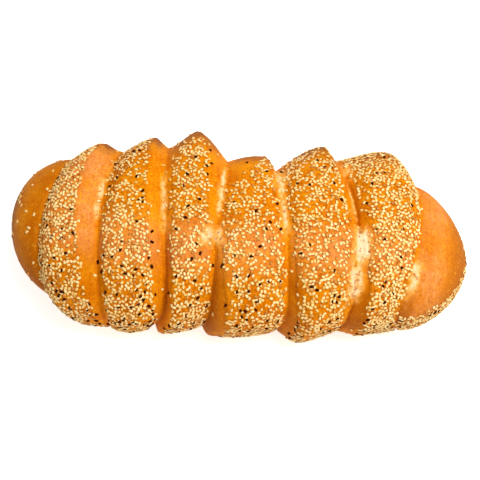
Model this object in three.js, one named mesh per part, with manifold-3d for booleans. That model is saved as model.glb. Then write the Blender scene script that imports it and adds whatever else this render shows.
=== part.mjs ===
// A corek: a long rolled loaf. Strips of seeded dough wrap a plain core and part from each other as
// they bake, so six rounded bands stand up between bare grooves, and a plain dome of core shows at
// each end. Sesame and nigella seeds lie on the bands.
//
// Millimetres. X runs along the loaf from its left end to its right end, Y from front to back, Z up.
// The loaf lies on its flat underside, and the origin is under the middle of its box.

import * as THREE from 'three';
import { mergeVertices } from 'three/addons/utils/BufferGeometryUtils.js';
import Module from 'manifold-3d';

// The roll without its bands: a squarish oval section on a slightly bent axis.
const LEFT_TIP = -172; // x of the two ends
const RIGHT_TIP = 170;
const AXIS_HEIGHT = 38; // the axis above the underside
const HALF_WIDTH = 65.3; // from the axis to the front or the back
const RISE = 43; // from the axis up to the top
const DROP = 47; // from the axis down: more than its height, so the underside is cut flat
const SQUARENESS = 2.25; // power of the oval, 2 being an ellipse
const END_TAPER = 0.1; // share of the section that is lost at the tips
const LEFT_SWAY = 12.3; // y of the axis at the two tips
const RIGHT_SWAY = -12.2;

// Sizes that change round the roll are triples: at its front, at its top and at its back.
// A groove has its place along the loaf, the same on the underside, the shift of that place at its
// foot, below the front, and its floor, as a share of the section.
const GROOVES = [
  { place: [-138, -140.5, -123], under: -114, footShift: 15.5, floor: [0.905, 0.99, 0.855] },
  { place: [-93, -100, -86.5], under: -77.5, footShift: -2, floor: [1.1, 1.05, 1.015] },
  { place: [-49, -54, -56.5], under: -56, footShift: -11.5, floor: [0.99, 1.07, 1.1] },
  { place: [-17.5, -14, -11], under: -20, footShift: -7, floor: [1.005, 1.07, 0.96] },
  { place: [38.5, 33, 25], under: 34.5, footShift: -9.5, floor: [1.02, 1.06, 0.86] },
  { place: [78.5, 86, 64.5], under: 50.5, footShift: 0.5, floor: [0.985, 1.03, 1.025] },
  { place: [114, 132, 124.5], under: 101.5, footShift: 11, floor: [0.905, 1.02, 0.845] },
];

// A band rises between two grooves to a crest, whose height is a share of the section and whose
// place is a share of the band's width. The power is low for a pointed band, high for a flat one.
// The bare margins are the shares of the width with no seeds, next to the left and right grooves.
const BANDS = [
  { crest: [1.12, 1.17, 1.095], crestAt: [0.535, 0.45, 0.595], power: [3.2, 3.2, 0.5],
    bareLeft: [0.03, 0.03, 0.03], bareRight: [0.14, 0.42, 0.4] },
  { crest: [1.145, 1.2, 1.195], crestAt: [0.265, 0.5, 0.7], power: [2.25, 3.2, 0.6],
    bareLeft: [0.1, 0.05, 0.03], bareRight: [0.12, 0.25, 0.35] },
  { crest: [1.125, 1.21, 1.31], crestAt: [0.095, 0.5, 0.445], power: [1.7, 3.2, 0.9],
    bareLeft: [0.14, 0.12, 0.1], bareRight: [0.05, 0.16, 0.35] },
  { crest: [1.135, 1.2, 1.02], crestAt: [0.175, 0.5, 0.675], power: [2.95, 3.2, 2],
    bareLeft: [0.27, 0.06, 0.1], bareRight: [0.06, 0.06, 0.12] },
  { crest: [1.155, 1.2, 1.185], crestAt: [0.36, 0.5, 0.825], power: [1.2, 3.2, 0.55],
    bareLeft: [0.18, 0.08, 0.1], bareRight: [0.08, 0.1, 0.1] },
  { crest: [1.03, 1.17, 1.195], crestAt: [0.31, 0.5, 0.66], power: [0.7, 3.2, 1.35],
    bareLeft: [0.3, 0.18, 0.12], bareRight: [0.02, 0.02, 0.02] },
];
const UNDER = { floor: 1, crest: 1.05, crestAt: 0.4, power: 2.4 }; // the same, on the underside
const CREST_RANGE = [0.1, 0.9]; // a crest keeps clear of its grooves
const POWER_RANGE = [1.05, 4];
const CREST_ROUND = 0.1; // how round a pointed band's crest is
const WEB = [0.06, 0.3, 0.1]; // how round the grooves' floors are, stretched into webs at the top
const FOOT_RISE = [-0.35, 0.45]; // a groove's foot turns aside between these depths below the axis
const FOOT_FRONT = [-0.5, 0.5]; // and only in front of the axis
const LEFT_DOME_POWER = 1.92; // roundness of the two ends, 2 being an ellipse
const RIGHT_DOME_POWER = 1.8;

// Seeds: flat drops, sunk in the crust by part of their thickness.
const SEED_LENGTH = 3.1;
const SEED_WIDTH = 2;
const SEED_THICKNESS = 1.3;
const SEED_SINK = 0.3; // their middle below the crust
const SEED_SPACING = 16; // between seeds on the bands
const SEEDED_ARC = [-18, 198]; // degrees round the roll
const RIM_SEEDS = 9; // on the strip of seeds low on the right end's front
const RIM_ARC = [-22, 14];
const RIM_REACH = [0.35, 0.95]; // share of the way from the tip to the last groove
const GOLDEN_TURN = Math.PI * (3 - Math.sqrt(5)); // between one seed's direction and the next
const PLASTIC_NUMBER = 1.32471795724; // its powers spread points evenly over a square

// Facets: columns along the loaf and rows round it.
const WALL_STEPS = [1, 0.84, 0.58, 0.3, 0.11]; // from a groove to the crest, as the share still to go
const DOME_COLUMNS = 6;
const ROWS = 44;
const SLOPE_STEP = 0.01; // for the slope of the crust under a seed

const CRUST_COLOUR = '#e39a3b';
const CRUST_ROUGHNESS = 0.5;

const { clamp, degToRad, lerp, smoothstep } = THREE.MathUtils;

// A triple's value at an angle round the roll: 0 at the front, 90 degrees at the top. The value on
// the underside, where none is given, is the one that leaves the rest a plain wave.
function around(angle, [front, top, back], under = front + back - top) {
  const mean = (front + top + back + under) / 4;
  const oval = (front - top + back - under) / 4;
  const lean = (front - back) / 2;
  const lift = (top - under) / 2;
  return mean + lean * Math.cos(angle) + lift * Math.sin(angle) + oval * Math.cos(2 * angle);
}

// The section's reach from the axis at an angle.
function sectionReach(angle) {
  const up = Math.sin(angle);
  const height = up >= 0 ? RISE : DROP;
  const across = Math.abs(Math.cos(angle) / HALF_WIDTH) ** SQUARENESS;
  return (across + Math.abs(up / height) ** SQUARENESS) ** (-1 / SQUARENESS);
}

// The point at x, an angle and a share of the section.
function crustPoint(x, angle, share) {
  const along = x / RIGHT_TIP;
  const reach = sectionReach(angle) * share * (1 - END_TAPER * along ** 4);
  const sway = ((RIGHT_SWAY - LEFT_SWAY) * along ** 3 + (RIGHT_SWAY + LEFT_SWAY) * along ** 2) / 2;
  return new THREE.Vector3(x, sway - reach * Math.cos(angle), AXIS_HEIGHT + reach * Math.sin(angle));
}

function groovePlace(groove, angle) {
  const foot = smoothstep(-Math.sin(angle), ...FOOT_RISE) * smoothstep(Math.cos(angle), ...FOOT_FRONT);
  return around(angle, groove.place, groove.under) + groove.footShift * foot;
}

function grooveFloor(groove, angle) {
  return around(angle, groove.floor, UNDER.floor);
}

function crestPlace(band, angle) {
  return clamp(around(angle, band.crestAt, UNDER.crestAt), ...CREST_RANGE);
}

// A band's profile, from 0 in a groove to 1 on the crest, at a share of the way from crest to groove.
function bandRise(band, angle, toGroove) {
  const power = clamp(around(angle, band.power, UNDER.power), ...POWER_RANGE);
  const web = around(angle, WEB, WEB[0]);
  const roundFloor = (rise) => Math.hypot(rise, web) - web;
  const roundCrest = (share) => Math.hypot(share, CREST_ROUND) - CREST_ROUND;
  const fall = (roundCrest(toGroove) / roundCrest(1)) ** power;
  return roundFloor(1 - fall) / roundFloor(1);
}

// A point on a band, t being 0 at its left groove and 1 at its right groove.
function bandPoint(index, t, angle) {
  const band = BANDS[index];
  const [left, right] = [GROOVES[index], GROOVES[index + 1]];
  const crestAt = crestPlace(band, angle);
  const toGroove = t < crestAt ? (crestAt - t) / crestAt : (t - crestAt) / (1 - crestAt);
  const floor = lerp(grooveFloor(left, angle), grooveFloor(right, angle), t);
  const share = lerp(floor, around(angle, band.crest, UNDER.crest), bandRise(band, angle, toGroove));
  return crustPoint(lerp(groovePlace(left, angle), groovePlace(right, angle), t), angle, share);
}

// A point on an end dome, v being 0 at its tip and 1 at the groove next to it.
function domePoint(isLeft, v, angle) {
  const groove = isLeft ? GROOVES[0] : GROOVES[GROOVES.length - 1];
  const tip = isLeft ? LEFT_TIP : RIGHT_TIP;
  const power = isLeft ? LEFT_DOME_POWER : RIGHT_DOME_POWER;
  const share = grooveFloor(groove, angle) * (1 - (1 - v) ** power) ** (1 / power);
  return crustPoint(lerp(tip, groovePlace(groove, angle), v), angle, share);
}

// The columns of points from the left end to the right end, each a function of the angle. Each
// band has one along its crest, wherever that runs.
function loafColumns() {
  const domeSteps = Array.from({ length: DOME_COLUMNS }, (_, k) => {
    const quarterTurn = Math.PI / 2;
    return 1 - Math.cos(quarterTurn * (k + 1) / (DOME_COLUMNS + 1));
  });
  const leftDome = domeSteps.map((v) => (angle) => domePoint(true, v, angle));
  const rightDome = domeSteps.map((v) => (angle) => domePoint(false, v, angle)).reverse();
  const bands = BANDS.flatMap((band, index) => {
    const column = (side, toGroove) => (angle) =>
      bandPoint(index, lerp(crestPlace(band, angle), side, toGroove), angle);
    const leftWall = WALL_STEPS.map((toGroove) => column(0, toGroove));
    const crest = column(0, 0);
    const rightWall = WALL_STEPS.slice(1).reverse().map((toGroove) => column(1, toGroove));
    return [...leftWall, crest, ...rightWall];
  });
  const lastGroove = (angle) => bandPoint(BANDS.length - 1, 1, angle);
  return [...leftDome, ...bands, lastGroove, ...rightDome];
}

// The closed skin of the roll, round underneath too.
function rollGeometry() {
  const columns = loafColumns();
  const angles = Array.from({ length: ROWS }, (_, row) => 2 * Math.PI * row / ROWS);
  const points = columns.flatMap((column) => angles.map(column));
  const leftTip = points.push(crustPoint(LEFT_TIP, 0, 0)) - 1;
  const rightTip = points.push(crustPoint(RIGHT_TIP, 0, 0)) - 1;
  const lastColumn = (columns.length - 1) * ROWS;
  const triangles = [];
  for (let row = 0; row < ROWS; row += 1) {
    const next = (row + 1) % ROWS;
    triangles.push(leftTip, row, next);
    triangles.push(rightTip, lastColumn + next, lastColumn + row);
    for (let here = 0; here < lastColumn; here += ROWS) {
      const beside = here + ROWS;
      triangles.push(here + row, beside + row, beside + next);
      triangles.push(here + row, beside + next, here + next);
    }
  }
  const geometry = new THREE.BufferGeometry().setFromPoints(points);
  geometry.setIndex(triangles);
  return geometry;
}

// One seed lying on a surface, turned about the surface's normal. The surface gives a point for a
// place along X and an angle.
function seedGeometry(surface, place, angle, turn) {
  const point = surface(place, angle);
  const along = surface(place + SLOPE_STEP, angle).sub(point);
  const round = surface(place, angle + SLOPE_STEP).sub(point);
  const normal = along.cross(round).normalize();
  const up = new THREE.Vector3(0, 0, 1);
  const lie = new THREE.Quaternion().setFromUnitVectors(up, normal);
  const spin = new THREE.Quaternion().setFromAxisAngle(up, turn);
  const middle = point.addScaledVector(normal, -SEED_SINK);
  const size = new THREE.Vector3(SEED_LENGTH, SEED_WIDTH, SEED_THICKNESS).multiplyScalar(0.5);
  const geometry = new THREE.IcosahedronGeometry(1, 0);
  return geometry.applyMatrix4(new THREE.Matrix4().compose(middle, lie.multiply(spin), size));
}

// The k-th of a row of points that fill a square of side 1 evenly.
function evenPair(k) {
  return [(k / PLASTIC_NUMBER) % 1, (k / PLASTIC_NUMBER ** 2) % 1];
}

function bandSeeds(band, index) {
  const [from, to] = SEEDED_ARC.map(degToRad);
  const width = GROOVES[index + 1].place[1] - GROOVES[index].place[1];
  const seededWidth = width * (1 - band.bareLeft[1] - band.bareRight[1]);
  const arcLength = (to - from) * (HALF_WIDTH + RISE) / 2;
  const count = Math.round(seededWidth * arcLength / SEED_SPACING ** 2);
  return Array.from({ length: count }, (_, k) => {
    const [across, round] = evenPair(k + 1);
    const angle = lerp(from, to, round);
    const t = lerp(around(angle, band.bareLeft), 1 - around(angle, band.bareRight), across);
    return seedGeometry((place, a) => bandPoint(index, place, a), t, angle, k * GOLDEN_TURN);
  });
}

function rimSeeds() {
  const [from, to] = RIM_ARC.map(degToRad);
  return Array.from({ length: RIM_SEEDS }, (_, k) => {
    const [across, round] = evenPair(k + 1);
    const toTip = 1 - lerp(...RIM_REACH, across);
    const rightDome = (place, a) => domePoint(false, 1 - place, a);
    return seedGeometry(rightDome, toTip, lerp(from, to, round), k * GOLDEN_TURN);
  });
}

// A box that holds everything below the underside.
function belowUnderside() {
  const side = 2 * (RIGHT_TIP - LEFT_TIP);
  return new THREE.BoxGeometry(side, side, DROP).translate(0, 0, -DROP / 2);
}

const wasm = await Module();
wasm.setup();

function toSolid(geometry) {
  const bare = geometry.clone();
  bare.deleteAttribute('normal');
  bare.deleteAttribute('uv');
  const merged = mergeVertices(bare);
  return new wasm.Manifold(new wasm.Mesh({
    numProp: 3,
    vertProperties: Float32Array.from(merged.attributes.position.array),
    triVerts: Uint32Array.from(merged.index.array),
  }));
}

function toGeometry(solid) {
  const mesh = solid.getMesh();
  const geometry = new THREE.BufferGeometry();
  geometry.setAttribute('position', new THREE.BufferAttribute(mesh.vertProperties, mesh.numProp));
  geometry.setIndex(new THREE.BufferAttribute(mesh.triVerts, 1));
  geometry.computeVertexNormals();
  return geometry;
}

// The roll cut flat underneath, with its seeds on, over the origin.
function loafGeometry() {
  const roll = toSolid(rollGeometry()).subtract(toSolid(belowUnderside()));
  const seeds = [...BANDS.flatMap(bandSeeds), ...rimSeeds()];
  const geometry = toGeometry(seeds.reduce((solid, seed) => solid.add(toSolid(seed)), roll));
  geometry.computeBoundingBox();
  const middle = geometry.boundingBox.getCenter(new THREE.Vector3());
  return geometry.translate(-middle.x, -middle.y, 0);
}

const crust = new THREE.MeshStandardMaterial({ color: CRUST_COLOUR, metalness: 0 });
crust.roughness = CRUST_ROUGHNESS;
const loaf = new THREE.Mesh(loafGeometry(), crust);
loaf.name = 'loaf';

const corek = new THREE.Group();
corek.add(loaf);

export default corek;
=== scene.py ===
"""Corek bread: a golden rolled loaf of six seeded bands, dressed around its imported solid.

Meshes are in metres, in the solid's frame: X along the loaf, Y from its front to its back, Z up. The
sizes of the dough and the seeds are in millimetres, as a baker would measure them.
"""

from __future__ import annotations

import logging
import math
from collections.abc import Mapping
from dataclasses import dataclass, fields
from enum import Enum, IntEnum
from typing import Any

import bmesh
import bpy
import numpy as np
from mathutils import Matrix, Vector, noise

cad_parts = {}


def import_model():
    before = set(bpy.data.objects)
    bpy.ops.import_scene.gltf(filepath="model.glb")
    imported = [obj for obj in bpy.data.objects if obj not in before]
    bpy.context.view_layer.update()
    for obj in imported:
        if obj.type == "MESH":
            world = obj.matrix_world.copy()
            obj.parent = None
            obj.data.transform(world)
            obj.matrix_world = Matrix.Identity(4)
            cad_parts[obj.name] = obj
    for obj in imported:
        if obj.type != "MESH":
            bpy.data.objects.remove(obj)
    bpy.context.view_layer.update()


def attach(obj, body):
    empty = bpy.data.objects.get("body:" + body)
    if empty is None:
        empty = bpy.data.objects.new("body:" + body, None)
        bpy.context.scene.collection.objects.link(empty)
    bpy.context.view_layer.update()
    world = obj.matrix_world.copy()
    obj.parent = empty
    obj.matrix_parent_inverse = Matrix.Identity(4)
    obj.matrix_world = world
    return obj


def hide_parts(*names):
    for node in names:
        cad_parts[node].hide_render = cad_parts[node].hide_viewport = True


Array = np.ndarray
Colour = bpy.types.NodeSocket | tuple[float, float, float, float]

LOG = logging.getLogger("corek")
MM = 0.001
CM2 = 0.0001
BODY = "root"
NODE = "loaf"
# Pixels along a side of the picture
IMAGE_SIDE = 480
# How far one step of a seed moves the noise, in wavelengths
NOISE_SHIFT = 17.3
# How near to the resting surface counts as on it, in metres
CUT_TOLERANCE = 1e-7


def linear(hex_colour: str) -> tuple[float, float, float, float]:
    """Turns an sRGB hex colour into Blender's linear colour.

    Args:
        hex_colour: Six hex digits after a hash.

    Returns:
        Red, green, blue and an alpha of 1.
    """
    shares = [int(hex_colour[k : k + 2], 16) / 255 for k in (1, 3, 5)]
    rgb = [s / 12.92 if s <= 0.04045 else ((s + 0.055) / 1.055) ** 2.4 for s in shares]
    return (*rgb, 1.0)


def add_node(
    tree: bpy.types.NodeTree,
    kind: str,
    feeds: Mapping[str | int, Any] | None = None,
    **settings: Any,
) -> bpy.types.Node:
    """Adds a node with its settings, and links or sets its inputs.

    Args:
        tree: The tree that takes the node.
        kind: The node's type.
        feeds: For an input's name or number, the socket that feeds it or the value it is set to.
        settings: The node's own properties.

    Returns:
        The new node.
    """
    node = tree.nodes.new(kind)
    for name, value in settings.items():
        setattr(node, name, value)
    for key, feed in (feeds or {}).items():
        if isinstance(feed, bpy.types.NodeSocket):
            tree.links.new(feed, node.inputs[key])
        else:
            node.inputs[key].default_value = feed
    return node


def smooth(value: Array, low: float, high: float) -> Array:
    """A soft step from 0 at low to 1 at high, where low may be the larger."""
    share = np.clip((value - low) / (high - low), 0, 1)
    return share * share * (3 - 2 * share)


class NoiseSeed(IntEnum):
    """The uses of noise on the crust, each with a seed of its own."""

    HAND = 1
    SKIN = 2
    PIT = 3
    WAVER = 31
    PATCH = 32
    RIM = 33


def soft_noise(points: Array, size: float, seed: NoiseSeed) -> Array:
    """Smooth noise over points.

    Args:
        points: Points in millimetres, on the last axis.
        size: The noise's wavelength in millimetres.
        seed: Moves the noise, so that each use has its own.

    Returns:
        Values of about -1 to 1, one for each point.
    """
    places = points.reshape(-1, 3) / size + NOISE_SHIFT * seed
    values = [noise.noise(Vector(place)) for place in places]
    return np.array(values).reshape(points.shape[:-1])


@dataclass(frozen=True)
class Stations:
    """A size that changes round the roll: at its front, its top, its back and its underside."""

    front: float
    top: float
    back: float
    under: float | None = None

    def at(self, angle: Array) -> Array:
        """The size at angles in radians, 0 at the front and a quarter turn at the top."""
        under = self.front + self.back - self.top if self.under is None else self.under
        mean = (self.front + self.top + self.back + under) / 4
        oval = (self.front - self.top + self.back - under) / 4
        lean = (self.front - self.back) / 2
        lift = (self.top - under) / 2
        return mean + lean * np.cos(angle) + lift * np.sin(angle) + oval * np.cos(2 * angle)


@dataclass(frozen=True)
class Strip:
    """A strip of skin along a groove.

    Its widths to the left and right of the groove are in millimetres, and its arc is in degrees. It shows
    in full at 1, more faintly below that, and more boldly above it.
    """

    left: float
    right: float
    arc: tuple[float, float]
    show: float = 1.0


@dataclass(frozen=True)
class Groove:
    """A bare valley beside a band.

    Its place along the loaf, its foot's shift and its crease's depth and width are in millimetres, and its
    floor is a share of the section. The webs are pale crumb that stretches over the floor. The shaded walls
    are skin kept bare of seeds, given a deep amber painted shade.
    """

    place: Stations
    foot_shift: float
    floor: Stations
    crease: Stations
    crease_width: float = 1.5
    webs: tuple[Strip, ...] = ()
    walls: tuple[Strip, ...] = ()


@dataclass(frozen=True)
class Band:
    """A strip of seeded dough between two grooves.

    The crest's height is a share of the section, and its place and the bare margins are shares of the
    band's width. The power is low for a pointed band, high for a flat one. The bare peak and the bare slope
    say how far the peak at the back and the slope to its left lack seeds, quite bare at 1 or more. The
    sesame and the nigella say how thick the seeds lie, the usual amount at 1. The painted sheen is the arc
    in degrees where a paler painted highlight lies on the crust, and the lip is how high its front's left
    edge stands, in millimetres.
    """

    crest: Stations
    crest_at: Stations
    power: Stations
    bare_left: Stations
    bare_right: Stations
    bare_peak: float
    bare_slope: float
    sesame: Stations
    nigella: float
    blush: tuple[float, float] = (46.0, 78.0)
    lip: float = 1.5


@dataclass(frozen=True)
class Dome:
    """A plain domed end.

    The tip is its place along the loaf, in millimetres, and a higher power makes a blunter dome. The span
    of the tip's painted shade is in shares of the way from the tip to the groove. The others go from 0 to
    1: how brown the rim is baked, which on the left end is partly painted shade, how strong the painted
    sheen is, how deep the painted shade is all over, at the tip, beside the groove and low on the front,
    how thick stray sesame lies on it, and how thick the seeds lie on its rim.
    """

    groove: Groove
    tip: float
    power: float
    bake: float
    shade: float
    tip_shade: float
    tip_span: tuple[float, float]
    groove_shade: float = 0.0
    front_shade: float = 0.0
    blush: float = 0.0
    stray_sesame: float = 0.0
    rim_sesame: float = 0.0
    rim_nigella: float = 0.0


# Grooves and bands are alike and nearly level on the hidden underside
UNDER_FLOOR = 1.0
UNDER_CREST = 1.05
UNDER_CREST_AT = 0.4
UNDER_POWER = 2.4

GROOVES = (
    Groove(
        place=Stations(-138, -140.5, -123, -114),
        foot_shift=15.5,
        floor=Stations(0.905, 0.99, 0.855, UNDER_FLOOR),
        crease=Stations(0.9, 0.4, 0.8, 0.5),
    ),
    Groove(
        place=Stations(-93, -100, -86.5, -77.5),
        foot_shift=-2,
        floor=Stations(1.1, 1.05, 1.015, UNDER_FLOOR),
        crease=Stations(1.5, 0.4, 1.0, 0.5),
        webs=(
            Strip(5.0, 1.2, (77, 94), 1.1),
            Strip(5.5, 0.6, (92, 122), 0.82),
            Strip(1.6, 0.4, (118, 146), 0.8),
        ),
        walls=(Strip(10.0, 1.0, (24, 62), 0.45),),
    ),
    Groove(
        place=Stations(-49, -54, -56.5, -56),
        foot_shift=-11.5,
        floor=Stations(0.99, 1.07, 1.1, UNDER_FLOOR),
        crease=Stations(1.4, 0.4, 0.6, 0.5),
        webs=(Strip(2.6, 2.2, (68, 126), 0.95),),
        walls=(Strip(9.0, 0.5, (6, 66), 0.45),),
    ),
    Groove(
        place=Stations(-17.5, -14, -11, -20),
        foot_shift=-7,
        floor=Stations(1.005, 1.07, 0.96, UNDER_FLOOR),
        crease=Stations(1.0, 0.4, 0.8, 0.5),
        webs=(
            Strip(2.6, 1.8, (86, 140), 1.08),
            Strip(13.0, 3.4, (60, 76), 0.98),
            Strip(5.5, 6.5, (61, 75), 1.08),
        ),
        walls=(Strip(1.0, 12.0, (-15, 44), 0.9),),
    ),
    Groove(
        place=Stations(38.5, 33, 25, 34.5),
        foot_shift=-9.5,
        floor=Stations(1.02, 1.06, 0.86, UNDER_FLOOR),
        crease=Stations(1.3, 0.3, 0.8, 0.5),
        webs=(
            Strip(3.6, 4.6, (104, 142), 0.84),
            Strip(2.8, 3.2, (72, 108), 0.92),
            Strip(2.0, 8.0, (118, 150), 0.7),
        ),
        walls=(Strip(-1.0, 9.0, (-15, 46), 0.65),),
    ),
    Groove(
        place=Stations(78.5, 86, 64.5, 50.5),
        foot_shift=0.5,
        floor=Stations(0.985, 1.03, 1.025, UNDER_FLOOR),
        crease=Stations(1.4, 4.5, 2.4, 0.5),
        crease_width=1.2,
        webs=(
            Strip(4.2, 8.4, (52, 84), 1.15),
            Strip(7.2, 4.4, (24, 56), 0.95),
            Strip(2.6, 0.0, (88, 130), 0.85),
            Strip(3.0, 8.0, (134, 152), 0.75),
        ),
        walls=(Strip(0.5, 5.0, (92, 128)), Strip(-2.0, 10.0, (-4, 36), 1.25)),
    ),
    Groove(
        place=Stations(114, 132, 124.5, 101.5),
        foot_shift=11,
        floor=Stations(0.905, 1.02, 0.845, UNDER_FLOOR),
        crease=Stations(1.6, 0.8, 1.0, 0.5),
        webs=(Strip(1.6, 6.4, (30, 62), 0.98),),
        walls=(Strip(0.5, 8.5, (-20, 27), 1.3),),
    ),
)
BANDS = (
    Band(
        crest=Stations(1.12, 1.17, 1.095, UNDER_CREST),
        crest_at=Stations(0.535, 0.45, 0.595, UNDER_CREST_AT),
        power=Stations(3.2, 3.2, 0.5, UNDER_POWER),
        bare_left=Stations(0.0, -0.03, -0.01),
        bare_right=Stations(0.14, 0.42, 0.4),
        bare_peak=0.5,
        bare_slope=0.0,
        sesame=Stations(0.86, 1.12, 1.04),
        nigella=0.8,
        blush=(50.0, 150.0),
        lip=0.0,
    ),
    Band(
        crest=Stations(1.145, 1.2, 1.195, UNDER_CREST),
        crest_at=Stations(0.265, 0.5, 0.7, UNDER_CREST_AT),
        power=Stations(2.25, 3.2, 0.6, UNDER_POWER),
        bare_left=Stations(0.1, 0.05, 0.03),
        bare_right=Stations(0.17, 0.25, 0.35),
        bare_peak=0.25,
        bare_slope=0.0,
        sesame=Stations(1.02, 0.8, 0.92),
        nigella=1.0,
    ),
    Band(
        crest=Stations(1.125, 1.21, 1.31, UNDER_CREST),
        crest_at=Stations(0.095, 0.5, 0.445, UNDER_CREST_AT),
        power=Stations(1.7, 3.2, 0.9, UNDER_POWER),
        bare_left=Stations(0.14, 0.12, 0.1),
        bare_right=Stations(0.05, 0.16, 0.35),
        bare_peak=1.2,
        bare_slope=0.3,
        sesame=Stations(1.02, 0.84, 0.92),
        nigella=0.6,
    ),
    Band(
        crest=Stations(1.135, 1.2, 1.02, UNDER_CREST),
        crest_at=Stations(0.175, 0.5, 0.675, UNDER_CREST_AT),
        power=Stations(2.95, 3.2, 2, UNDER_POWER),
        bare_left=Stations(0.24, 0.06, 0.1),
        bare_right=Stations(0.06, 0.06, 0.12),
        bare_peak=1.4,
        bare_slope=1.0,
        sesame=Stations(0.9, 0.74, 0.84),
        nigella=0.58,
    ),
    Band(
        crest=Stations(1.155, 1.2, 1.185, UNDER_CREST),
        crest_at=Stations(0.36, 0.5, 0.825, UNDER_CREST_AT),
        power=Stations(1.2, 3.2, 0.55, UNDER_POWER),
        bare_left=Stations(0.18, 0.08, 0.1),
        bare_right=Stations(0.08, 0.1, 0.1),
        bare_peak=0.8,
        bare_slope=0.35,
        sesame=Stations(0.94, 0.8, 0.94),
        nigella=0.5,
    ),
    Band(
        crest=Stations(1.03, 1.17, 1.195, UNDER_CREST),
        crest_at=Stations(0.31, 0.5, 0.66, UNDER_CREST_AT),
        power=Stations(0.7, 3.2, 1.35, UNDER_POWER),
        bare_left=Stations(0.3, 0.12, 0.08),
        bare_right=Stations(0.02, 0.02, 0.02),
        bare_peak=0.15,
        bare_slope=0.0,
        sesame=Stations(1.06, 0.96, 1.08),
        nigella=0.64,
    ),
)
DOMES = (
    Dome(
        groove=GROOVES[0],
        tip=-172.0,
        power=1.92,
        bake=0.8,
        shade=0.1,
        tip_shade=0.6,
        tip_span=(0.3, 0.1),
        groove_shade=0.7,
        front_shade=0.55,
        stray_sesame=0.0525,
    ),
    Dome(
        groove=GROOVES[-1],
        tip=170.0,
        power=1.8,
        bake=0.28,
        shade=0.2,
        tip_shade=0.8,
        tip_span=(0.6, 0.2),
        blush=1.0,
        rim_sesame=0.9,
        rim_nigella=0.45,
    ),
)


class SeedKind(Enum):
    """The seeds that lie on the bands, by the value on the crust that says how thick they lie."""

    SESAME = "sesame"
    NIGELLA = "nigella"


@dataclass(frozen=True)
class Skin:
    """A patch of the loaf's surface, as grids of columns along the loaf and rows round it.

    The share is the reach as a part of the section's, and the crease is how far the skin is drawn in, in
    millimetres, which is less than 0 where a web or a lip lifts it. The rest are marks of about 0 to 1: how
    thick the sesame and the nigella lie, how far pale web shows, how brown the crust is baked (a mark that
    also carries painted shade in places), how strong the painted sheen, a paler painted highlight, is, and
    how deep the painted shade, a deep amber in creases, on shaded walls and on the ends, is.
    """

    x: Array
    share: Array
    crease: Array
    sesame: Array
    nigella: Array
    web: Array
    bake: Array
    blush: Array
    shade: Array

    def marks(self) -> dict[str, Array]:
        """The marks that the finish and the seeds read, by name."""
        form = ("x", "share", "crease")
        return {f.name: getattr(self, f.name) for f in fields(self) if f.name not in form}


@dataclass(frozen=True)
class LoafForm:
    """The loaf's form: a squarish oval roll on a slightly bent axis, with bands between grooves.

    Sizes are in millimetres. The ranges of the foot are heights and depths as shares of the reach.
    """

    half_length: float = 170.0
    axis_height: float = 38.0
    half_width: float = 65.3
    rise: float = 43.0
    drop: float = 47.0
    squareness: float = 2.25
    end_taper: float = 0.1
    left_sway: float = 12.3
    right_sway: float = -12.2
    crest_range: tuple[float, float] = (0.1, 0.9)
    power_range: tuple[float, float] = (1.05, 4.0)
    crest_round: float = 0.1
    web_round: Stations = Stations(0.06, 0.3, 0.1, 0.06)
    foot_rise: tuple[float, float] = (-0.35, 0.45)
    foot_front: tuple[float, float] = (-0.5, 0.5)

    def reach(self, angle: Array) -> Array:
        """The plain section's reach from the axis, in millimetres, at angles in radians."""
        up = np.sin(angle)
        height = np.where(up >= 0, self.rise, self.drop)
        across = np.abs(np.cos(angle) / self.half_width) ** self.squareness
        return (across + np.abs(up / height) ** self.squareness) ** (-1 / self.squareness)

    def points(self, x: Array, angle: Array, reach: Array) -> Array:
        """The points at a reach from the axis.

        Args:
            x: Places along the loaf, in millimetres.
            angle: Angles round the roll, in radians.
            reach: Distances from the axis before the ends taper, in millimetres.

        Returns:
            Points in millimetres, on a new last axis.
        """
        along = x / self.half_length
        tapered = reach * (1 - self.end_taper * along**4)
        turn = (self.right_sway - self.left_sway) * along**3
        bend = (self.right_sway + self.left_sway) * along**2
        y = (turn + bend) / 2 - tapered * np.cos(angle)
        return np.stack([x, y, self.axis_height + tapered * np.sin(angle)], axis=-1)

    def groove_place(self, groove: Groove, angle: Array) -> Array:
        """Where a groove runs along the loaf, at angles in radians."""
        foot = smooth(-np.sin(angle), *self.foot_rise) * smooth(np.cos(angle), *self.foot_front)
        return groove.place.at(angle) + groove.foot_shift * foot

    def band_rise(self, band: Band, crest_at: Array, t: Array, angle: Array) -> Array:
        """A band's profile.

        Args:
            band: The band.
            crest_at: Where its crest is, as a share of its width.
            t: Shares of the way from its left groove to its right one.
            angle: Angles round the roll, in radians.

        Returns:
            0 in the grooves to 1 on the crest.
        """
        power = np.clip(band.power.at(angle), *self.power_range)
        web_round = self.web_round.at(angle)
        to_groove = np.where(t < crest_at, (crest_at - t) / crest_at, (t - crest_at) / (1 - crest_at))
        fall = np.hypot(to_groove, self.crest_round) - self.crest_round
        fall = fall / (np.hypot(1, self.crest_round) - self.crest_round)
        rise = np.hypot(1 - fall**power, web_round) - web_round
        return rise / (np.hypot(1, web_round) - web_round)


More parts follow.
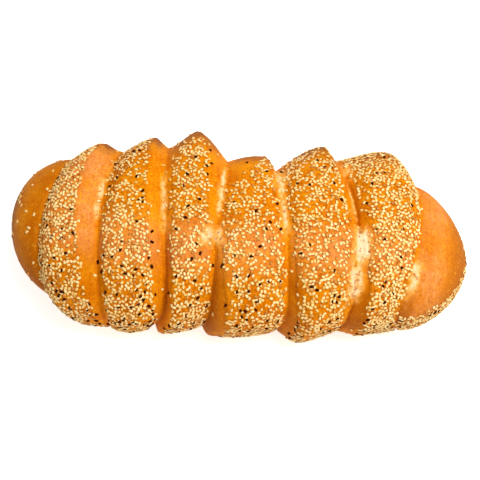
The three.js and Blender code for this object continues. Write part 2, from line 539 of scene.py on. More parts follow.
@dataclass(frozen=True)
class LoafSkin(LoafForm):
    """What lies on the loaf's form: creases, webs, lips, seeds and the tones that the oven gives.

    Besides the tones that the oven gives, the marks carry painted shade in the creases, on the shaded
    walls, on the back peaks and on the ends, and a paler painted sheen on the crowns. Sizes, edges, gaps,
    wavers, heights and depths are in millimetres, arcs and turns are in degrees round the roll, and the
    rest are shares. An arc is where a mark is, with soft ends. In the other pairs a mark starts at the
    first value
    and is full at the second: a rise is a share of a band's height, a fall of its width, a span of the way
    from a dome's tip to its groove, and a patch is a value of the noise.
    """

    arc_fade: float = 12.0
    strip_edge: float = 2.8
    web_fill: float = 0.4
    waver_size: float = 9.0
    patch_size: float = 12.0
    noise_gap: float = 100.0
    seeded_arc: tuple[float, float] = (-28.0, 208.0)
    edge_waver: float = 1.6
    sesame_edge: float = 2.2
    nigella_edge: float = 4.4
    stray_sesame: float = 0.015
    thin_patch: float = 0.65
    thick_patch: tuple[float, float] = (-0.45, 0.15)
    web_bare: float = 0.6
    peak_arc: tuple[float, float] = (148.0, 171.0)
    peak_rise: tuple[float, float] = (0.35, 0.85)
    peak_flank: float = 0.5
    slope_arc: tuple[float, float] = (118.0, 172.0)
    slope_top: float = 0.5
    nigella_turn: tuple[float, float] = (6.0, 78.0)
    nigella_thinning: float = 0.78
    bake_start_turn: tuple[float, float] = (137.0, 161.0)
    bake_end_turn: tuple[float, float] = (210.0, 160.0)
    bake_rise: tuple[float, float] = (0.05, 0.7)
    # Painted shade low on the shaded walls, carried in the brown mark
    low_wall_turn: tuple[float, float] = (26.0, -8.0)
    low_wall_bake: float = 0.45
    blush_rise: tuple[float, float] = (0.0, 0.4)
    # Painted shade for each millimetre of crease and on the shaded walls
    crease_shade: float = 0.25
    wall_shade: float = 0.9
    lip_arc: tuple[float, float] = (2.0, 62.0)
    lip_edge: float = 0.9
    lip_fall: tuple[float, float] = (0.85, 0.3)
    dome_bake_height: tuple[float, float] = (70.0, 36.0)
    dome_bake_span: tuple[float, float] = (0.42, 0.03)
    # The painted sheen on the right end, and the gold arc where it is weaker
    dome_blush_span: tuple[float, float] = (0.2, 0.6)
    dome_blush_turn: tuple[float, float] = (72.0, 42.0)
    dome_front_blush: float = 0.35
    dome_gold_arc: tuple[float, float] = (66.0, 94.0)
    dome_gold: float = 0.5
    dome_groove_span: tuple[float, float] = (0.5, 0.9)
    dome_front_turn: tuple[float, float] = (72.0, 20.0)
    dome_wall_shade: float = 0.8
    rim_height: tuple[float, float] = (50.0, 46.0)
    rim_depth: tuple[float, float] = (30.0, -30.0)
    rim_waver: float = 5.0

    def within(self, arc: tuple[float, float], angle: Array) -> Array:
        """Whether angles in radians are within an arc in degrees, as 0 to 1 with soft ends."""
        start, end = np.radians(arc)
        fade = math.radians(self.arc_fade)
        return smooth(angle, start - fade, start + fade) * smooth(angle, end + fade, end - fade)

    def turned(self, turn: tuple[float, float], angle: Array) -> Array:
        """How far angles in radians have come through a turn in degrees, as 0 to 1."""
        return smooth(angle, *np.radians(turn))

    def strip_share(self, strips: tuple[Strip, ...], away: Array, angle: Array) -> Array:
        """How far any of some strips shows.

        Args:
            strips: The strips.
            away: Places along the loaf from their groove, in millimetres, more than 0 to its right.
            angle: Angles round the roll, in radians.

        Returns:
            0 to the most that a strip shows, with soft edges.
        """
        share = np.zeros(np.broadcast_shapes(away.shape, angle.shape))
        for strip in strips:
            width = np.where(away > 0, strip.right, strip.left)
            across = np.clip((width - np.abs(away)) / (2 * self.strip_edge) + 0.5, 0, 1)
            share = np.maximum(share, strip.show * across * self.within(strip.arc, angle))
        return share

    def groove_marks(self, groove: Groove, away: Array, angle: Array) -> tuple[Array, Array, Array]:
        """What a groove does to the skin beside it.

        Args:
            groove: The groove.
            away: Places along the loaf from it, in millimetres, more than 0 to its right.
            angle: Angles round the roll, in radians.

        Returns:
            How far its crease draws the skin in, in millimetres, which is less than 0 where a web fills it,
            and how far its webs and its shaded walls, bare and given painted shade, show.
        """
        web = self.strip_share(groove.webs, away, angle)
        shaded_wall = self.strip_share(groove.walls, away, angle)
        crease = groove.crease.at(angle) * np.exp(-((away / groove.crease_width) ** 2))
        crease = crease * np.maximum(1 - web, 0)
        for strip in groove.webs:
            fill = np.maximum((strip.left + strip.right) / 2 - np.abs(away), 0)
            crease = crease - self.web_fill * self.within(strip.arc, angle) * fill
        return crease, web, shaded_wall

    def band_skin(self, index: int, t: Array, angle: Array) -> Skin:
        """The surface of a band.

        Args:
            index: The band's number from the left.
            t: Shares of the way from the left groove to the right one, as a column.
            angle: Angles round the roll in radians, as a row.

        Returns:
            The band's skin.
        """
        band, left, right = BANDS[index], GROOVES[index], GROOVES[index + 1]
        start, end = self.groove_place(left, angle), self.groove_place(right, angle)
        x = start + (end - start) * t
        crest_at = np.clip(band.crest_at.at(angle), *self.crest_range)
        rise = self.band_rise(band, crest_at, t, angle)
        floor = left.floor.at(angle) * (1 - t) + right.floor.at(angle) * t
        share = floor + (band.crest.at(angle) - floor) * rise

        grids = np.broadcast_arrays(x, angle * self.half_width, self.noise_gap * index)
        spread = np.stack(grids, axis=-1)
        waver = soft_noise(spread, self.waver_size, NoiseSeed.WAVER)
        left_marks = self.groove_marks(left, x - start + waver, angle)
        right_marks = self.groove_marks(right, x - end + waver, angle)
        crease = left_marks[0] + right_marks[0]
        web, shaded_wall = (np.maximum(*pair) for pair in zip(left_marks[1:], right_marks[1:]))

        from_left = x - start - band.bare_left.at(angle) * (end - start)
        from_right = end - x - band.bare_right.at(angle) * (end - start)
        inside = np.minimum(from_left, from_right) + self.edge_waver * waver
        peak = self.peak_flank + (1 - self.peak_flank) * smooth(rise, *self.peak_rise)
        peak = peak * self.within(self.peak_arc, angle)
        slope = smooth(t, crest_at, self.slope_top * crest_at) * self.within(self.slope_arc, angle)
        bare = np.maximum(band.bare_peak * peak, band.bare_slope * slope)
        bare = np.minimum(np.maximum.reduce([bare, self.web_bare * web, shaded_wall]), 1)
        patches = smooth(soft_noise(spread, self.patch_size, NoiseSeed.PATCH), *self.thick_patch)
        patches = band.sesame.at(angle) * (self.thin_patch + (1 - self.thin_patch) * patches)
        seeded = self.within(self.seeded_arc, angle)
        sesame = seeded * smooth(inside, -self.sesame_edge / 2, self.sesame_edge / 2)
        sesame = np.maximum(sesame * patches * (1 - bare), self.stray_sesame)
        nigella = band.nigella * seeded * smooth(inside, -self.nigella_edge, 0) * (1 - bare) * (1 - peak)
        thinned = 1 - self.nigella_thinning * self.turned(self.nigella_turn, angle)
        nigella = nigella * thinned * np.maximum(1 - web, 0)

        # Brown on the back peaks: baked browning, partly painted shade where they face away from the light
        bake = self.turned(self.bake_start_turn, angle) * self.turned(self.bake_end_turn, angle)
        bake = smooth(rise, *self.bake_rise) * bake
        # Painted shade low on the shaded walls, carried in the brown mark
        bake = bake + self.low_wall_bake * shaded_wall * self.turned(self.low_wall_turn, angle)
        # Painted sheen: a paler painted highlight across the crown
        blush = self.within(band.blush, angle) * smooth(rise, *self.blush_rise)
        # Painted shade in the creases and on the shaded walls
        shade = np.clip(self.crease_shade * crease + self.wall_shade * shaded_wall, 0, 1)
        lip = smooth(from_left + self.edge_waver * waver, -self.lip_edge, self.lip_edge)
        lip = lip * smooth(t, *self.lip_fall) * self.within(self.lip_arc, angle)
        crease = crease - band.lip * lip
        return Skin(x, share, crease, sesame, nigella, web, bake, blush, shade)

    def dome_skin(self, dome: Dome, v: Array, angle: Array) -> Skin:
        """The surface of an end dome.

        Args:
            dome: The dome.
            v: Shares of the way from the tip to the groove beside it, as a column.
            angle: Angles round the roll in radians, as a row.

        Returns:
            The dome's skin.
        """
        edge = self.groove_place(dome.groove, angle)
        share = dome.groove.floor.at(angle) * (1 - (1 - v) ** dome.power) ** (1 / dome.power)
        x = dome.tip + (edge - dome.tip) * v
        crease, web, shaded_wall = self.groove_marks(dome.groove, x - edge, angle)
        points = self.points(x, angle, self.reach(angle) * share)
        depth, height = points[..., 1], points[..., 2]

        rim = height + self.rim_waver * soft_noise(points, self.patch_size, NoiseSeed.RIM)
        rim = smooth(rim, *self.rim_height) * smooth(depth, *self.rim_depth)
        sesame = dome.stray_sesame + dome.rim_sesame * rim
        # Brown low on the rim and near the tip: baked browning, and on the left end partly painted shade
        low, near_tip = smooth(height, *self.dome_bake_height), smooth(v, *self.dome_bake_span)
        bake = dome.bake * np.maximum(low, near_tip)
        # Painted sheen: a paler painted highlight, stronger low on the front and weaker in the gold arc
        blush = 1 + self.dome_front_blush * self.turned(self.dome_blush_turn, angle)
        blush = smooth(v, *self.dome_blush_span) * blush
        blush = dome.blush * blush * (1 - self.dome_gold * self.within(self.dome_gold_arc, angle))
        # Painted shade: deep amber at the tip, beside the groove, low on the front and on the shaded walls
        shade = dome.shade + dome.tip_shade * smooth(v, *dome.tip_span) + self.dome_wall_shade * shaded_wall
        shade = shade + dome.groove_shade * smooth(v, *self.dome_groove_span)
        shade = shade + dome.front_shade * self.turned(self.dome_front_turn, angle)
        shade = np.clip(shade, 0, 1)
        return Skin(x, share, crease, sesame, dome.rim_nigella * rim, web, bake, blush, shade)


@dataclass(frozen=True)
class Layer:
    """A colour that lies over others in patches.

    The patches are noise of a size in millimetres, stretched round the roll, which starts to show at low
    and shows most at high. The mask is the mark on the skin that limits them, if one does: it fades them,
    or, where they are ragged, it shrinks each patch by that much of the noise.
    """

    colour: str
    size_mm: float
    low: float
    high: float
    most: float = 1.0
    mask: str = ""
    stretch: float = 1.0
    ragged: float = 0.0
    detail: float = 3.0

    def limit(self, tree: bpy.types.NodeTree) -> bpy.types.NodeSocket:
        """Reads the mark that limits the patches."""
        return add_node(tree, "ShaderNodeAttribute", attribute_name=self.mask).outputs["Fac"]

    def over(self, tree: bpy.types.NodeTree, place: bpy.types.NodeSocket, below: Colour) -> Colour:
        """Lays the colour over what is below it.

        Args:
            tree: The material's nodes.
            place: The place on the piece, in metres.
            below: The colour below.

        Returns:
            The colour with this one over it.
        """
        squash = (1.0, 1 / self.stretch, 1 / self.stretch)
        where = add_node(tree, "ShaderNodeVectorMath", {0: place, 1: squash}, operation="MULTIPLY")
        cloud = add_node(
            tree,
            "ShaderNodeTexNoise",
            {"Vector": where.outputs[0], "Scale": 1 / (self.size_mm * MM), "Detail": self.detail},
        )
        height = cloud.outputs["Fac"]
        if self.ragged:
            shrunk = {0: self.limit(tree), 1: self.ragged, 2: height}
            height = add_node(tree, "ShaderNodeMath", shrunk, operation="MULTIPLY_ADD").outputs[0]
        low, high = self.low + self.ragged, self.high + self.ragged
        span = {"Value": height, "From Min": low, "From Max": high, "To Max": self.most}
        share = add_node(tree, "ShaderNodeMapRange", span).outputs["Result"]
        if self.mask and not self.ragged:
            faded = {0: share, 1: self.limit(tree)}
            share = add_node(tree, "ShaderNodeMath", faded, operation="MULTIPLY").outputs[0]
        mix = {0: share, 6: below, 7: linear(self.colour)}
        return add_node(tree, "ShaderNodeMix", mix, data_type="RGBA").outputs[2]


@dataclass(frozen=True)
class EggWashedCrust:
    """Egg-washed yeast crust: thin shiny gold over amber, browner where it met the heat.

    It gives the eye a satin skin with soft broad highlights, some of them a painted sheen on the crowns,
    blotches of gold and amber a finger wide, fine pores, brown peaks and feet, cream crumb where the skin
    tore open, and a thin bloom of flour that pales its edges. It also carries painted shade: deep amber in
    the creases, on the shaded walls and on the ends, and brown in the gaps between the seeds.
    """

    gold: str = "#eb940c"
    layers: tuple[Layer, ...] = (
        # Amber blotches a finger wide
        Layer("#d97c04", size_mm=16.0, low=0.38, high=0.66),
        # Streaks of egg wash round the roll
        Layer("#c86c04", size_mm=3.0, low=0.5, high=0.75, most=0.4, stretch=7.0),
        # Painted sheen: a paler painted highlight on the crowns and the right end
        Layer("#ee985a", size_mm=22.0, low=0.2, high=0.7, most=0.8, mask="blush"),
        # Dark specks
        Layer("#a95806", size_mm=1.7, low=0.48, high=0.72, most=0.55),
        # Bright specks
        Layer("#f6aa18", size_mm=2.0, low=0.54, high=0.68, most=0.7),
        # Pale grain in the painted sheen
        Layer("#f6b87c", size_mm=3.2, low=0.5, high=0.7, most=0.3, mask="blush", stretch=2.0),
        # Brown grain in the painted sheen
        Layer("#c8741c", size_mm=2.4, low=0.52, high=0.7, most=0.45, mask="blush", stretch=2.0),
        # Painted shade: deep amber in the creases, on the shaded walls and on the ends
        Layer("#b5650a", size_mm=8.0, low=0.0, high=0.4, most=0.8, mask="shade"),
        # Gold flecks in the painted shade
        Layer("#eba63a", size_mm=2.4, low=0.58, high=0.68, most=0.5, mask="shade"),
        # A darker ground under the seeds: partly pooled egg wash, partly painted shade among them
        Layer("#a95806", size_mm=6.0, low=0.1, high=0.5, most=0.15, mask="sesame"),
        # Painted shadow: brown gaps between the seeds
        Layer("#7a3a06", size_mm=2.2, low=0.46, high=0.66, most=0.6, mask="sesame"),
        # The brown of peaks, rims and feet: baked browning that also carries painted shade on the back
        # peaks, low on the shaded walls and on the left end's rim
        Layer("#905428", size_mm=5.0, low=0.1, high=0.55, mask="bake"),
        # The golden edge of torn webs
        Layer("#f2b35a", size_mm=3.4, low=-0.06, high=0.42, mask="web", stretch=1.6, ragged=0.8),
        # The cream crumb of the webs
        Layer("#f4d8b0", size_mm=3.4, low=0.22, high=0.66, mask="web", stretch=1.6, ragged=0.8),
        # Pits in the webs
        Layer("#a4570e", size_mm=2.8, low=0.55, high=0.63, most=0.7, mask="web"),
    )
    # Real pores are finer: these are as coarse as they need to be to show
    pore_mm: float = 0.9
    pore_depth_mm: float = 0.2
    pore_strength: float = 0.6
    pore_detail: float = 2.0
    roughness: float = 0.45
    specular: float = 0.05
    bloom: str = "#f4d0a0"
    bloom_weight: float = 0.2
    bloom_roughness: float = 0.3

    def material(self) -> bpy.types.Material:
        """Builds the crust's material."""
        material = bpy.data.materials.new("egg-washed crust")
        material.use_nodes = True
        tree = material.node_tree
        shader = tree.nodes["Principled BSDF"]
        place = add_node(tree, "ShaderNodeTexCoord").outputs["Object"]
        colour: Colour = linear(self.gold)
        for layer in self.layers:
            colour = layer.over(tree, place, colour)
        tree.links.new(colour, shader.inputs["Base Color"])
        grain = {"Vector": place, "Scale": 1 / (self.pore_mm * MM), "Detail": self.pore_detail}
        pores = add_node(tree, "ShaderNodeTexNoise", grain).outputs["Fac"]
        relief = {"Height": pores, "Distance": self.pore_depth_mm * MM, "Strength": self.pore_strength}
        bump = add_node(tree, "ShaderNodeBump", relief)
        tree.links.new(bump.outputs["Normal"], shader.inputs["Normal"])
        shader.inputs["Roughness"].default_value = self.roughness
        shader.inputs["Specular IOR Level"].default_value = self.specular
        shader.inputs["Sheen Tint"].default_value = linear(self.bloom)
        shader.inputs["Sheen Weight"].default_value = self.bloom_weight
        shader.inputs["Sheen Roughness"].default_value = self.bloom_roughness
        return material


@dataclass(frozen=True)
class HulledSesame:
    """Hulled sesame: smooth ivory seed coats, some of them toasted to straw or tan in the oven.

    A seed is ivory on its top, and its thin edge takes on the colour of the crust that it is baked into.
    """

    ivory: str = "#f9dc9c"
    straw: str = "#efc26c"
    tan: str = "#c47c2a"
    straw_tones: tuple[float, float] = (0.15, 0.85)
    tan_tones: tuple[float, float] = (0.8, 1.0)
    edge: float = 0.7
    roughness: float = 0.45

    def material(self) -> bpy.types.Material:
        """Builds the seeds' material, which reads each seed's own tone and where its edge is."""
        material = bpy.data.materials.new("hulled sesame")
        material.use_nodes = True
        tree = material.node_tree
        shader = tree.nodes["Principled BSDF"]
        tone = add_node(tree, "ShaderNodeAttribute", attribute_name="tone").outputs["Fac"]
        flank = add_node(tree, "ShaderNodeAttribute", attribute_name="flank").outputs["Fac"]
        steps = (
            (self.straw, {"Value": tone, "From Min": self.straw_tones[0], "From Max": self.straw_tones[1]}),
            (self.tan, {"Value": tone, "From Min": self.tan_tones[0], "From Max": self.tan_tones[1]}),
            (self.tan, {"Value": flank, "To Max": self.edge}),
        )
        colour: Colour = linear(self.ivory)
        for darker, span in steps:
            share = add_node(tree, "ShaderNodeMapRange", span).outputs["Result"]
            mix = {0: share, 6: colour, 7: linear(darker)}
            colour = add_node(tree, "ShaderNodeMix", mix, data_type="RGBA").outputs[2]
        tree.links.new(colour, shader.inputs["Base Color"])
        shader.inputs["Roughness"].default_value = self.roughness
        return material


@dataclass(frozen=True)
class NigellaCoat:
    """Nigella: matt, finely wrinkled black seed coats with a brown cast."""

    black: str = "#300f02"
    brown: str = "#542206"
    # Real wrinkles are finer: these are as coarse as they need to be to show
    wrinkle_mm: float = 0.5
    roughness: float = 0.7
    specular: float = 0.08

    def material(self) -> bpy.types.Material:
        """Builds the seeds' material."""
        material = bpy.data.materials.new("nigella seed coat")
        material.use_nodes = True
        tree = material.node_tree
        shader = tree.nodes["Principled BSDF"]
        place = add_node(tree, "ShaderNodeTexCoord").outputs["Object"]
        grain = {"Vector": place, "Scale": 1 / (self.wrinkle_mm * MM)}
        wrinkles = add_node(tree, "ShaderNodeTexNoise", grain).outputs["Fac"]
        mix = {0: wrinkles, 6: linear(self.black), 7: linear(self.brown)}
        colour = add_node(tree, "ShaderNodeMix", mix, data_type="RGBA").outputs[2]
        tree.links.new(colour, shader.inputs["Base Color"])
        shader.inputs["Roughness"].default_value = self.roughness
        shader.inputs["Specular IOR Level"].default_value = self.specular
        return material


@dataclass(frozen=True)
class Crust:
    """The loaf's skin, closed and flat underneath, with the values that its finish and seeds read."""

    form: LoafSkin
    finish: EggWashedCrust
    band_columns: int = 56
    dome_columns: int = 38
    rows: int = 236
    hand_mm: float = 34.0
    hand_depth_mm: float = 0.9
    skin_mm: float = 7.0
    skin_depth_mm: float = 0.22
    pit_mm: float = 2.6
    pit_depth_mm: float = 0.9
    pit_noise: tuple[float, float] = (0.0, 0.6)
    foot_brown_mm: float = 40.0
    foot_bake: float = 0.55
    bare_foot_bake: float = 0.4
    seeds_above_mm: tuple[float, float] = (2.5, 6.0)

    def skin(self) -> tuple[Skin, Array]:
        """The whole surface.

        Returns:
            The skin from the left end to the right end, and the angles of its rows.
        """
        quarter = math.radians(90)
        angle = np.linspace(-quarter, 3 * quarter, self.rows, endpoint=False)[None, :]
        v = 1 - np.cos(quarter * np.arange(1, self.dome_columns) / self.dome_columns)[:, None]
        t = np.linspace(0, 1, self.band_columns, endpoint=False)[:, None]
        last = len(BANDS) - 1
        patches = [self.form.dome_skin(DOMES[0], v, angle)]
        patches += [self.form.band_skin(index, t, angle) for index in range(last)]
        patches.append(self.form.band_skin(last, np.append(t, [[1.0]], axis=0), angle))
        patches.append(self.form.dome_skin(DOMES[1], v[::-1], angle))
        whole = {f.name: np.concatenate([getattr(p, f.name) for p in patches]) for f in fields(Skin)}
        return Skin(**whole), angle

    def points(self, skin: Skin, angle: Array) -> Array:
        """The surface's points in millimetres, with the unevenness that hands and the oven leave."""
        reach = self.form.reach(angle) * skin.share
        plain = self.form.points(skin.x, angle, reach)
        reach = reach + self.hand_depth_mm * soft_noise(plain, self.hand_mm, NoiseSeed.HAND)
        reach = reach + self.skin_depth_mm * soft_noise(plain, self.skin_mm, NoiseSeed.SKIN)
        pits = smooth(soft_noise(plain, self.pit_mm, NoiseSeed.PIT), *self.pit_noise)
        reach = reach - skin.crease - self.pit_depth_mm * skin.web * pits
        return self.form.points(skin.x, angle, reach)

    def closed_mesh(self, points: Array, values: Mapping[str, Array]) -> bpy.types.Mesh:
        """The skin as a mesh, closed at its tips and cut flat at the underside.

        Args:
            points: The grid of points in metres.
            values: Grids of the values to keep on the points, by name.

        Returns:
            The mesh.
        """
        columns, rows = points.shape[:2]
        tips = [points[0].mean(axis=0), points[-1].mean(axis=0)]
        tips[0][0], tips[1][0] = points[0, :, 0].min(), points[-1, :, 0].max()
        corner = np.arange(columns * rows).reshape(columns, rows)
        beside = np.roll(corner, -1, axis=1)
        quads = np.stack([corner[:-1], corner[1:], beside[1:], beside[:-1]], axis=-1).reshape(-1, 4)
        left = [(columns * rows, a, b) for a, b in zip(corner[0], beside[0])]
        right = [(columns * rows + 1, b, a) for a, b in zip(corner[-1], beside[-1])]
        mesh = bpy.data.meshes.new(NODE)
        mesh.from_pydata([*points.reshape(-1, 3), *tips], [], [*quads.tolist(), *left, *right])
        for name, grid in values.items():
            attribute = mesh.attributes.new(name, "FLOAT", "POINT")
            ends = [grid[0].mean(), grid[-1].mean()]
            attribute.data.foreach_set("value", np.append(grid.ravel(), ends).astype(np.float32))
        self.cut_flat(mesh)
        return mesh

    def cut_flat(self, mesh: bpy.types.Mesh) -> None:
        """Cuts the mesh off at the resting surface and closes it there with a flat face."""
        work = bmesh.new()
        work.from_mesh(mesh)
        everything = [*work.verts, *work.edges, *work.faces]
        cut = bmesh.ops.bisect_plane(
            work,
            geom=everything,
            dist=CUT_TOLERANCE,
            plane_co=(0, 0, 0),
            plane_no=(0, 0, 1),
            clear_inner=True,
        )
        rim = [item for item in cut["geom_cut"] if isinstance(item, bmesh.types.BMEdge)]
        for face in work.faces:
            face.smooth = True
        base = bmesh.ops.contextual_create(work, geom=rim)["faces"]
        for face in base:
            face.smooth = False
        for edge in rim:
            edge.smooth = False
        bmesh.ops.recalc_face_normals(work, faces=work.faces)
        bmesh.ops.triangulate(work, faces=base)
        work.to_mesh(mesh)
        work.free()

    def build(self) -> bpy.types.Object:
        """Makes the crust and dresses it."""
        skin, angle = self.skin()
        points = self.points(skin, angle)
        above = points[points[..., 2] >= 0]
        middle = (above.min(axis=0) + above.max(axis=0)) / 2
        points = points - middle * np.array([1, 1, 0])
        height = points[..., 2]
        values = skin.marks()
        foot_bake = self.foot_bake + self.bare_foot_bake * np.maximum(1 - skin.sesame, 0)
        values["bake"] = np.clip(skin.bake + foot_bake * smooth(height, self.foot_brown_mm, 0), 0, 1)
        for kind in SeedKind:
            values[kind.value] = values[kind.value] * smooth(height, *self.seeds_above_mm)
        mesh = self.closed_mesh(points * MM, values)
        mesh.materials.append(self.finish.material())
        crust = bpy.data.objects.new("crust", mesh)
        bpy.context.scene.collection.objects.link(crust)
        return crust


@dataclass(frozen=True)
class SeedSprinkle:
    """All the seeds of one kind, lying flat on the crust and sunk a little into it.

    Sizes are in millimetres, and the tilt is in degrees. The taper is how much narrower a seed is towards
    its tip. The spacing is the least distance between the middles of two seeds. The lifts are shares of the
    seed's height, and the shoulder's width is a share of its outline's.
    """

    kind: SeedKind
    finish: HulledSesame | NigellaCoat
    length: float
    width: float
    height: float
    sunk: float
    taper: float
    spacing: float
    per_cm2: float
    seed: int
    sides: int
    tilt: float = 14.0
    smallest: float = 0.85
    largest: float = 1.12
    waist_lift: float = 0.1
    shoulder_lift: float = 0.8
    shoulder_width: float = 0.78

    def shape(self) -> bpy.types.Object:
        """One seed: a drop with a rounded top and a low underside, in metres, on the crust at z = 0."""
        turns = 2 * np.pi * np.arange(self.sides) / self.sides
        outline = np.stack(
            [
                self.length / 2 * np.cos(turns),
                self.width / 2 * np.sin(turns) * (1 - self.taper * np.cos(turns)),
                np.zeros_like(turns),
            ],
            axis=-1,
        )
        waist = outline + [0, 0, self.waist_lift * self.height]
        shoulder = outline * self.shoulder_width + [0, 0, self.shoulder_lift * self.height]
        points = np.concatenate([[[0, 0, -self.sunk]], waist, shoulder, [[0, 0, self.height]]]) * MM
        top = 2 * self.sides + 1
        faces: list[tuple[int, ...]] = []
        for k in range(self.sides):
            here, after = 1 + k, 1 + (k + 1) % self.sides
            faces.append((0, after, here))
            faces.append((here, after, after + self.sides, here + self.sides))
            faces.append((here + self.sides, after + self.sides, top))
        mesh = bpy.data.meshes.new(f"one {self.kind.value} seed")
        mesh.from_pydata(points.tolist(), [], faces)
        flank = mesh.attributes.new("flank", "FLOAT", "POINT")
        flank.data.foreach_set("value", [1.0] * (self.sides + 1) + [0.0] * (self.sides + 1))
        return bpy.data.objects.new(mesh.name, mesh)

    def tree(self) -> bpy.types.NodeTree:
        """The nodes that spread copies of one seed over a mesh, by a value on its points."""
        tree = bpy.data.node_groups.new(f"{self.kind.value} sprinkle", "GeometryNodeTree")
        face = tree.interface
        sockets = {
            "Crust": "NodeSocketGeometry",
            "Seed": "NodeSocketObject",
            "Spacing": "NodeSocketFloat",
            "Thickest": "NodeSocketFloat",
            "Tilt": "NodeSocketFloat",
            "Smallest": "NodeSocketFloat",
            "Largest": "NodeSocketFloat",
            "Finish": "NodeSocketMaterial",
        }
        for name, kind in sockets.items():
            face.new_socket(name=name, in_out="INPUT", socket_type=kind)
        face.new_socket(name="Seeds", in_out="OUTPUT", socket_type="NodeSocketGeometry")
        given = add_node(tree, "NodeGroupInput").outputs
        value = {"Name": self.kind.value}
        thick = add_node(tree, "GeometryNodeInputNamedAttribute", value, data_type="FLOAT")
        spread = add_node(
            tree,
            "GeometryNodeDistributePointsOnFaces",
            {
                "Mesh": given["Crust"],
                "Distance Min": given["Spacing"],
                "Density Max": given["Thickest"],
                "Density Factor": thick.outputs["Attribute"],
                "Seed": self.seed,
            },
            distribute_method="POISSON",
        )
        lean = add_node(tree, "ShaderNodeCombineXYZ", {0: given["Tilt"], 1: given["Tilt"], 2: math.pi})
        other_way = {0: lean.outputs[0], "Scale": -1.0}
        back = add_node(tree, "ShaderNodeVectorMath", other_way, operation="SCALE")
        turn = add_node(
            tree,
            "FunctionNodeRandomValue",
            {0: back.outputs[0], 1: lean.outputs[0], 8: self.seed + 1},
            data_type="FLOAT_VECTOR",
        )
        lie = add_node(
            tree,
            "FunctionNodeRotateRotation",
            {"Rotation": spread.outputs["Rotation"], "Rotate By": turn.outputs[0]},
            rotation_space="LOCAL",
        )
        size = add_node(
            tree,
            "FunctionNodeRandomValue",
            {2: given["Smallest"], 3: given["Largest"], 8: self.seed + 2},
            data_type="FLOAT",
        )
        one = add_node(tree, "GeometryNodeObjectInfo", {"Object": given["Seed"], "As Instance": True})
        copies = add_node(
            tree,
            "GeometryNodeInstanceOnPoints",
            {
                "Points": spread.outputs["Points"],
                "Instance": one.outputs["Geometry"],
                "Rotation": lie.outputs["Rotation"],
                "Scale": size.outputs[1],
            },
        )
        share = {2: 0.0, 3: 1.0, 8: self.seed + 3}
        tone = add_node(tree, "FunctionNodeRandomValue", share, data_type="FLOAT")
        toned = add_node(
            tree,
            "GeometryNodeStoreNamedAttribute",
            {"Geometry": copies.outputs["Instances"], "Name": "tone", "Value": tone.outputs[1]},
            data_type="FLOAT",
            domain="INSTANCE",
        )
        real = add_node(tree, "GeometryNodeRealizeInstances", {"Geometry": toned.outputs["Geometry"]})
        rounded = add_node(tree, "GeometryNodeSetShadeSmooth", {"Geometry": real.outputs["Geometry"]})
        dressed = add_node(
            tree,
            "GeometryNodeSetMaterial",
            {"Geometry": rounded.outputs["Geometry"], "Material": given["Finish"]},
        )
        add_node(tree, "NodeGroupOutput", {"Seeds": dressed.outputs["Geometry"]})
        return tree

    def build(self, crust: bpy.types.Object) -> bpy.types.Object:
        """Sprinkles the seeds over the crust.

        Args:
            crust: The finished crust, with this kind's value on its points.

        Returns:
            All the seeds as one plain mesh.
        """
        one = self.shape()
        seeds = bpy.data.objects.new(self.kind.value, crust.data)
        bpy.context.scene.collection.objects.link(seeds)
        sprinkle = seeds.modifiers.new("sprinkle", "NODES")
        sprinkle.node_group = self.tree()
        settings = {
            "Seed": one,
            "Spacing": self.spacing * MM,
            "Thickest": self.per_cm2 / CM2,
            "Tilt": math.radians(self.tilt),
            "Smallest": self.smallest,
            "Largest": self.largest,
            "Finish": self.finish.material(),
        }
        for item in sprinkle.node_group.interface.items_tree:
            if item.name in settings:
                sprinkle[item.identifier] = settings[item.name]
        graph = bpy.context.evaluated_depsgraph_get()
        mesh = bpy.data.meshes.new_from_object(seeds.evaluated_get(graph), depsgraph=graph)
        mesh.name = self.kind.value
        seeds.modifiers.remove(sprinkle)
        seeds.data = mesh
        bpy.data.objects.remove(one)
        return seeds


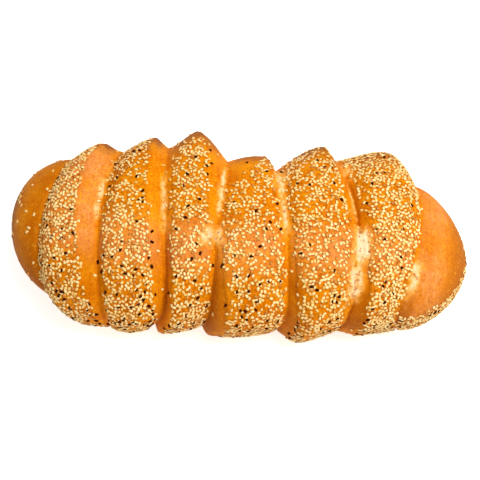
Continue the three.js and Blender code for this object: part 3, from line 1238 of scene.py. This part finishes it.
@dataclass(frozen=True)
class Studio:
    """A pale floor, soft light that comes mostly from the right, and the camera above the loaf's front.

    The floor, the camera's distance and the lamp are in metres, and the camera's angles are in degrees.
    """

    floor_half: float = 3.0
    elevation: float = 64.0
    yaw: float = 2.5
    distance: float = 0.95
    pixels_per_mm: float = 1.33
    aim_mm: tuple[float, float, float] = (1.0, -4.75, 40.0)
    aim_pixel: tuple[float, float] = (238.5, 241.0)
    floor_colour: str = "#fbfaf8"
    floor_glow: float = 0.62
    floor_roughness: float = 0.9
    floor_specular: float = 0.1
    sky_strength: float = 0.3
    key_place: tuple[float, float, float] = (0.5, 0.0, 1.3)
    key_side: float = 0.8
    key_watts: float = 17.0

    def floor(self) -> bpy.types.Object:
        """Lays a matt white sheet under the loaf."""
        half = self.floor_half
        mesh = bpy.data.meshes.new("floor")
        corners = [(-half, -half, 0), (half, -half, 0), (half, half, 0), (-half, half, 0)]
        mesh.from_pydata(corners, [], [(0, 1, 2, 3)])
        material = bpy.data.materials.new("matt white sheet")
        material.use_nodes = True
        shader = material.node_tree.nodes["Principled BSDF"]
        shader.inputs["Base Color"].default_value = linear(self.floor_colour)
        shader.inputs["Roughness"].default_value = self.floor_roughness
        shader.inputs["Specular IOR Level"].default_value = self.floor_specular
        shader.inputs["Emission Color"].default_value = linear(self.floor_colour)
        shader.inputs["Emission Strength"].default_value = self.floor_glow
        mesh.materials.append(material)
        floor = bpy.data.objects.new("floor", mesh)
        floor.visible_glossy = False
        bpy.context.scene.collection.objects.link(floor)
        return floor

    def light(self) -> None:
        """Lights the loaf with a white sky and a square soft box that faces it."""
        world = bpy.data.worlds.new("studio")
        world.use_nodes = True
        sky = world.node_tree.nodes["Background"]
        sky.inputs["Color"].default_value = (1, 1, 1, 1)
        sky.inputs["Strength"].default_value = self.sky_strength
        bpy.context.scene.world = world
        lamp = bpy.data.lights.new("key", "AREA")
        lamp.size = self.key_side
        lamp.energy = self.key_watts
        holder = bpy.data.objects.new("key", lamp)
        holder.location = self.key_place
        holder.rotation_euler = (-Vector(self.key_place)).to_track_quat("-Z", "Y").to_euler()
        bpy.context.scene.collection.objects.link(holder)
        bpy.context.scene.view_settings.view_transform = "Standard"
        bpy.context.scene.view_settings.look = "Medium High Contrast"

    def camera(self) -> None:
        """Sets the camera at the photograph's angle and framing."""
        up, turn = math.radians(self.elevation), math.radians(self.yaw)
        back = Vector((math.sin(turn) * math.cos(up), -math.cos(turn) * math.cos(up), math.sin(up)))
        right = Vector((math.cos(turn), math.sin(turn), 0))
        above = back.cross(right)
        centre = IMAGE_SIDE / 2
        across, down = centre - self.aim_pixel[0], self.aim_pixel[1] - centre
        aim = Vector(self.aim_mm) + (right * across + above * down) / self.pixels_per_mm
        data = bpy.data.cameras.new("camera")
        focal_pixels = self.pixels_per_mm * self.distance / MM
        data.lens = data.sensor_width * focal_pixels / IMAGE_SIDE
        camera = bpy.data.objects.new("camera", data)
        camera.location = aim * MM + back * self.distance
        camera.rotation_euler = back.to_track_quat("Z", "Y").to_euler()
        bpy.context.scene.collection.objects.link(camera)
        bpy.context.scene.camera = camera


def report(piece: bpy.types.Object) -> None:
    """Logs a piece and its number of triangles."""
    piece.data.calc_loop_triangles()
    LOG.info("%s: %d triangles", piece.name, len(piece.data.loop_triangles))


def main() -> None:
    """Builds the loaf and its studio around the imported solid."""
    logging.basicConfig(level=logging.INFO, format="%(name)s: %(message)s")
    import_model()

    studio = Studio()
    studio.camera()
    studio.light()
    studio.floor()

    crust = Crust(LoafSkin(), EggWashedCrust()).build()
    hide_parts(NODE)
    sprinkles = (
        SeedSprinkle(
            kind=SeedKind.SESAME,
            finish=HulledSesame(),
            length=3.5,
            width=2.35,
            height=0.7,
            sunk=0.3,
            taper=0.25,
            spacing=2.1,
            per_cm2=52.0,
            seed=11,
            sides=6,
        ),
        SeedSprinkle(
            kind=SeedKind.NIGELLA,
            finish=NigellaCoat(),
            length=3.5,
            width=2.3,
            height=0.9,
            sunk=0.3,
            taper=0.15,
            spacing=3.0,
            per_cm2=2.6,
            seed=23,
            sides=5,
        ),
    )
    pieces = [crust, *(sprinkle.build(crust) for sprinkle in sprinkles)]
    for piece in pieces:
        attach(piece, BODY)
        report(piece)


if __name__ == "__main__":
    main()
